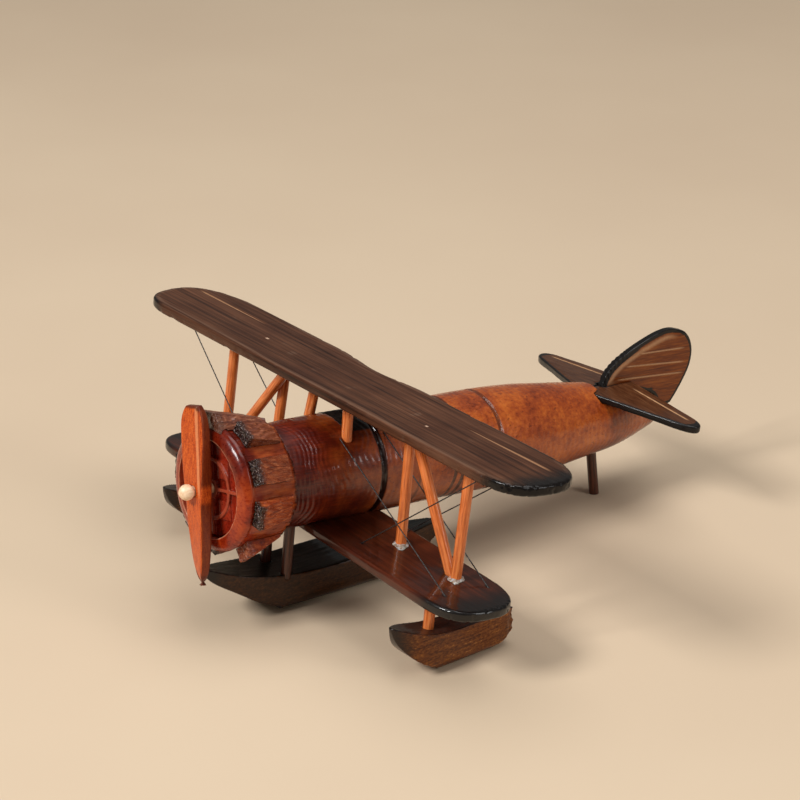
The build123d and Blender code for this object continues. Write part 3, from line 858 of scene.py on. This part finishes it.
def make_dowel(node, material, seed):
    """A slightly uneven round dowel. seed turns its unevenness."""
    start, end = line_of(node)
    phase = seed * 1.7

    def radius_at(share, angle):
        along = share * (end - start).length / MM
        flat = 0.035 * cos(3 * angle + phase + along * 0.05) + 0.03 * sin(5 * angle - along * 0.11 + phase)
        grain = 0.015 * sin(17 * angle + 0.6 * sin(along * 0.3 + phase))
        return (dowel / 2 - 0.08 + flat + grain) * MM

    mesh = tube("turned_" + node, start, end, radius_at, rings=70, sides=48)
    keep_in_box(mesh, node)
    obj = new_object("turned_" + node, mesh)
    stand_for(obj, node, material)
    return obj


def make_thread(node, material):
    """Three-ply black thread pulled taut."""
    start, end = line_of(node)
    lay = 2.4
    turns = (end - start).length / MM / lay

    def radius_at(share, angle):
        ply = cos(3 * (angle - share * turns * 2 * pi / 3))
        return thread / 2 * (0.88 + 0.12 * ply) * MM

    rings = int(turns * 8)
    obj = new_object("laid_" + node, tube("laid_" + node, start, end, radius_at, rings, sides=15))
    stand_for(obj, node, material)
    return obj


def make_peg(material):
    """Turned peg: a slightly uneven ball on a round shank."""
    head, back = 3.6, 7.9
    hub_front = propeller_place - 3.0
    head_place = hub_front - head + 0.6
    start = aircraft @ Vector((0, back, 0))
    end = aircraft @ Vector((0, head_place - head, 0))
    length = back - head_place + head

    def radius_at(share, angle):
        y = back - share * length
        gap = abs(y - head_place)
        ball = (head * head - gap * gap) ** 0.5 if gap < head else 0.0
        shank = dowel / 2 - 0.14 if y > head_place else 0.0
        lump = 0.03 * sin(3 * angle + y * 0.8) - 0.04
        return max(ball + lump, shank, 0.02) * MM

    mesh = tube("turned_propeller_peg", start, end, radius_at, rings=120, sides=56)
    obj = new_object("turned_propeller_peg", mesh)
    stand_for(obj, "propeller_peg", material)
    return obj


def glue_top(centre, spread, drips, seed):
    """Points of the glue's top face, ring after ring outwards from the dowel."""
    inner = dowel / 2 - 0.15
    verts = []
    for ring in range(glue_rings + 1):
        share = ring / glue_rings
        for step in range(glue_sides):
            angle = 2 * pi * step / glue_sides
            drip = sum(reach * max(0.0, cos(angle - towards)) ** power for towards, reach, power in drips)
            wobble = 0.22 * sin(2 * angle + seed) + 0.12 * sin(5 * angle + 2 * seed)
            radius = inner + (dowel / 2 + spread + wobble + drip - inner) * share
            lumps = 0.8 + 0.2 * sin(3 * angle + seed)
            high = (1 - share) ** 1.4 * lumps + 0.1 * sin(share * pi)
            x, y = centre[0] + cos(angle) * radius, centre[1] + sin(angle) * radius
            verts.append((x, y, centre[2] + high))
    return verts


def glue_faces():
    """Faces of the glue: its top, its outer and inner walls, and its underside."""
    outer_top = glue_rings * glue_sides
    outer_under = outer_top + glue_sides
    inner_under = outer_under + glue_sides
    faces = []
    for low in range(0, outer_top, glue_sides):
        for s in range(glue_sides):
            n = (s + 1) % glue_sides
            faces.append((low + s, low + glue_sides + s, low + glue_sides + n, low + n))
    for s in range(glue_sides):
        n = (s + 1) % glue_sides
        faces.append((outer_top + s, outer_under + s, outer_under + n, outer_top + n))
        faces.append((outer_under + s, inner_under + s, inner_under + n, outer_under + n))
        faces.append((inner_under + s, s, n, inner_under + n))
    return faces


def make_glue(name, node, height_above, spread, drips, seed, material):
    """A lumpy ring of dried glue round a dowel's foot, with drips on the wing.

    The ring is centred on the dowel where it leaves the lower wing. Each drip is (direction, reach,
    narrowness).
    """
    foot, head = line_of(node)
    on_wing = foot + (head - foot).normalized() * height_above * MM
    centre = moved(np.array([on_wing]), aircraft.inverted())[0]
    verts = glue_top(centre, spread, drips, seed)
    outer = verts[glue_rings * glue_sides:]
    inner = verts[:glue_sides]
    verts += [(x, y, z - glue_depth) for x, y, z in outer]
    verts += [(x, y, centre[2] - glue_depth) for x, y, _ in inner]
    local = np.array(verts)
    faces = glue_faces()
    mesh = bpy.data.meshes.new(name)
    mesh.from_pydata([tuple(v) for v in moved(local, aircraft)], [], faces)
    mesh.polygons.foreach_set("use_smooth", [True] * len(faces))
    store(mesh, "own", local)
    obj = new_object(name, mesh)
    obj.data.materials.append(material)
    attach(obj, nodes[node]["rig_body"])
    return obj


# ---- cylinder blocks ----
def make_block(index, material):
    """A hacked wedge block: charred front, scratched top, knife-cut sides."""
    node = blocks[index]
    angle = block_angle(node)
    turn = Matrix.Rotation(pi / 2 - angle, 4, "Y")
    home = aircraft @ turn
    seed = 100 + 7 * index
    redness, charred, sooty_side = block_looks[index]

    def relief(points, normals, edge):
        x, y, z = points.T
        front = ramp(-normals[:, 1], 0.35, 0.8)
        top = ramp(normals[:, 2], 0.5, 0.85)
        side = ramp(np.abs(normals[:, 0]), 0.5, 0.85)
        burnt = -front * charred * (0.55 + 0.6 * rough_noise(points, (1.6, 1.6, 2.6), seed))
        slant = x * 0.8 + y * (0.35 if index % 2 else -0.3)
        hacked = -top * (0.16 + 0.16 * np.sin(slant * 2.4 + 2 * smooth_noise(points, 5, seed + 1)))
        scraped = -top * 0.12 * ramp(smooth_noise(points, (1.0, 7, 1), seed + 2), 0.0, 0.7)
        sliced = -side * (0.2 + 0.3 * smooth_noise(points, (3, 4, 4), seed + 3))
        return burnt + hacked + scraped + sliced

    obj = carve(node, 0.33, relief, material, home)
    mesh = obj.data
    local = moved(points_of(mesh), home.inverted())
    normals = turned(normals_of(mesh), home.inverted())
    first = local[:, 1].min()
    char = ramp(-normals[:, 1], 0.25, 0.7) * charred
    singed = ramp(local[:, 1] + 1.2 * rough_noise(local, 2.0, seed), first + 4.5, first + 1.5)
    sides = ramp(np.abs(normals[:, 0]), 0.5, 0.85) * sooty_side
    store(mesh, "char", np.clip(np.max([char, singed * 0.9 * charred, sides], axis=0), 0, 1))
    store(mesh, "own", local)
    store(mesh, "tone", np.full(len(local), redness))
    return obj


# ---- stage ----
def make_floor():
    """A plain pale floor, in metres."""
    half = 6.0
    corners = [(-half, -half, 0), (half, -half, 0), (half, half, 0), (-half, half, 0)]
    mesh = bpy.data.meshes.new("studio_floor")
    mesh.from_pydata(corners, [], [(0, 1, 2, 3)])
    p = Paint("floor_paint", roughness=0.75)
    mottle = p.noise(p.tree.nodes.new("ShaderNodeTexCoord").outputs["Object"], 3.0, detail=3)
    colour = p.tones(mottle, (0.3, (0.60, 0.46, 0.32)), (0.7, (0.64, 0.50, 0.35)))
    mesh.materials.append(p.finish(colour))
    new_object("studio_floor", mesh)


def make_light(name, place, aim, size, watts):
    """A soft white panel at a place, turned to its aim, in metres."""
    data = bpy.data.lights.new(name, "AREA")
    data.shape = "RECTANGLE"
    data.size, data.size_y = size
    data.energy = watts
    point_at(new_object(name, data), place, Vector(aim) - Vector(place))


def make_world():
    """Faint warm light from all round."""
    world = bpy.data.worlds.new("studio_air")
    world.use_nodes = True
    background = world.node_tree.nodes["Background"]
    background.inputs["Color"].default_value = (1.0, 0.97, 0.93, 1)
    background.inputs["Strength"].default_value = 0.16
    bpy.context.scene.world = world


def make_camera():
    """The camera stands off the port bow and looks down at the ornament, in metres."""
    azimuth, elevation = radians(52.43), radians(23.57)
    distance = 1.2582
    aim = Vector((nose_lip.x - 0.0205, -0.0146, 0.0705))
    back = Vector((sin(azimuth) * cos(elevation), -cos(azimuth) * cos(elevation), sin(elevation)))
    data = bpy.data.cameras.new("camera")
    data.lens = 121.6
    data.sensor_width = 36.0
    camera = new_object("camera", data)
    point_at(camera, aim + back * distance, -back)
    bpy.context.scene.camera = camera


# ---- put it together ----
def tail_marks(obj, scorch, line, golden, own):
    """Store what tail_wood() reads: scorching with the stabilizers' painted underside shade, pale lines
    with the fin's painted bevel highlight, which wood, and the grain's own axes.
    """
    store(obj.data, "scorch", scorch)
    store(obj.data, "line", line)
    store(obj.data, "golden", np.full(len(scorch), golden))
    store(obj.data, "own", own)


def make_fin(stain):
    """The fin, with a scorched rim and leading edge, a painted highlight along its bevel, and its grain
    running up.
    """
    fin = carve("fin", 0.42, fin_relief, stain, flat_axis=0)
    place, edge = read(fin, "place", 3), read(fin, "edge")
    leading = fin_front(place)
    rim = ramp(edge, 2.0, 1.2)
    foot = ramp(edge, 3.6, 2.6) * leading * ramp(place[:, 1], 262, 238)
    front = ramp(edge, 2.6, 1.8) * leading
    smudge = 0.7 * bump(place[:, 1], 260, 5.0) * bump(place[:, 2], 10.5, 1.6)
    # painted highlight: a pale band along the carved bevel, stored with the pale lines
    bevel = 0.6 * bump(edge, 4.2, 2.0) * leading
    line = np.maximum(fin_lines(place), bevel)
    tail_marks(fin, np.max([rim, foot, front, smudge], axis=0), line, 1.0, place[:, [1, 0, 2]])


def make_stabilizer(side, sign, stain):
    """A stabilizer with a scorched leading edge and tip, painted shade on its underside, and a pale line
    along its hinge.
    """
    plane = carve("stabilizer_" + side, 0.42, stabilizer_relief, stain, flat_axis=2)
    place, edge, face = read(plane, "place", 3), read(plane, "edge"), read(plane, "face", 3)
    x = place[:, 0] * sign
    lead = ramp(edge, 1.6, 0.6) * ramp(place[:, 1], 240, 234)
    tip = ramp(x + 2.5 * smooth_noise(place, 4, 75), tail_half_span - 6, tail_half_span - 2)
    # painted shade: downward faces are darkened and stored with the scorch marks
    underside_shade = ramp(-face[:, 2], -0.2, 0.5) * 0.9
    rim = ramp(edge, 0.9, 0.1)
    along_span = ramp(x, 9, 14) * ramp(x, tail_half_span - 7, tail_half_span - 10)
    hinge = bump(place[:, 1], tail_hinge, 0.8) * along_span * ramp(face[:, 2], 0.2, 0.6)
    tail_marks(plane, np.max([lead, tip, underside_shade, rim], axis=0), hinge, 0.0, place)


def make_floats():
    """The three hulls. small is 1 on the tip floats, and nose is the distance from the bow."""
    stain = float_wood()
    hulls = (("main_float", float_relief, 0.0), ("tip_float_port", rough_stern_relief, 1.0),
             ("tip_float_starboard", rough_stern_relief, 1.0))
    for node, relief, small in hulls:
        hull = carve(node, 0.5, relief, stain, table)
        place = read(hull, "place", 3)
        store(hull.data, "small", np.full(len(place), small))
        store(hull.data, "nose", place[:, 1] - place[:, 1].min())


def make_rods():
    """Every strut, float dowel, tail post and thread. seed is the node's place in the sorted names."""
    cotton = black_thread()
    orange = dowel_wood("dowel_orange_stain", (0.42, 0.085, 0.014), (0.72, 0.175, 0.036),
                        (0.86, 0.280, 0.080), coat=0.45, blotch=0.2)
    brown = dowel_wood("dowel_dark_stain", (0.020, 0.005, 0.002), (0.070, 0.016, 0.006),
                       (0.13, 0.032, 0.011), coat=0.5, blotch=0.4)
    for seed, node in enumerate(sorted(nodes)):
        if "wire" in node:
            make_thread(node, cotton)
        elif "dowel" in node or "strut" in node or node == "tail_post":
            dark = nodes[node].data.materials[0].name == "dowel_dark"
            make_dowel(node, brown if dark else orange, seed)


# carve's second value is the size of the remeshing cells, millimetres
carve("fuselage", 0.66, body_relief, lacquered_body())
carve("cowl", 0.5, cowl_relief, cowl_lacquer("cowl_gloss", coat=0.4))
carve("engine_face", 0.28, face_relief, cowl_lacquer("recess_gloss", coat=0.25))
carve("upper_wing", 0.56, upper_wing_relief, walnut_wing(), flat_axis=2)
paint_hole_shade(carve("lower_wing", 0.56, lower_wing_relief, red_brown_wing(), flat_axis=2))
carve("propeller", 0.34, propeller_relief, propeller_wood(), flat_axis=1)
burnt_wood = scorched_block()
for number in range(len(blocks)):
    make_block(number, burnt_wood)
tail_stain = tail_wood()
make_fin(tail_stain)
make_stabilizer("port", 1, tail_stain)
make_stabilizer("starboard", -1, tail_stain)
make_floats()
make_rods()
make_peg(pale_peg())
glue = dried_glue()
make_glue("glue_inner_port", "inner_strut_port", socket, 1.3, [(-0.6, 2.4, 12), (2.6, 1.0, 8)], 3, glue)
make_glue("glue_outer_port", "outer_strut_port", socket, 1.1, [(-0.7, 2.0, 16), (1.9, 1.2, 10)], 5, glue)
make_floor()
make_world()
make_light("key_left", place=(-0.2, -1.9, 1.7), aim=(0, 0, 0.05), size=(0.8, 0.6), watts=54)
make_light("top_soft", place=(0.1, 0.3, 1.9), aim=(0, 0, 0.05), size=(1.6, 1.2), watts=18)
make_light("side_right", place=(1.7, 0.7, 1.0), aim=(0, 0, 0.06), size=(0.7, 1.2), watts=12)
make_camera()
bpy.context.scene.view_settings.view_transform = "Standard"
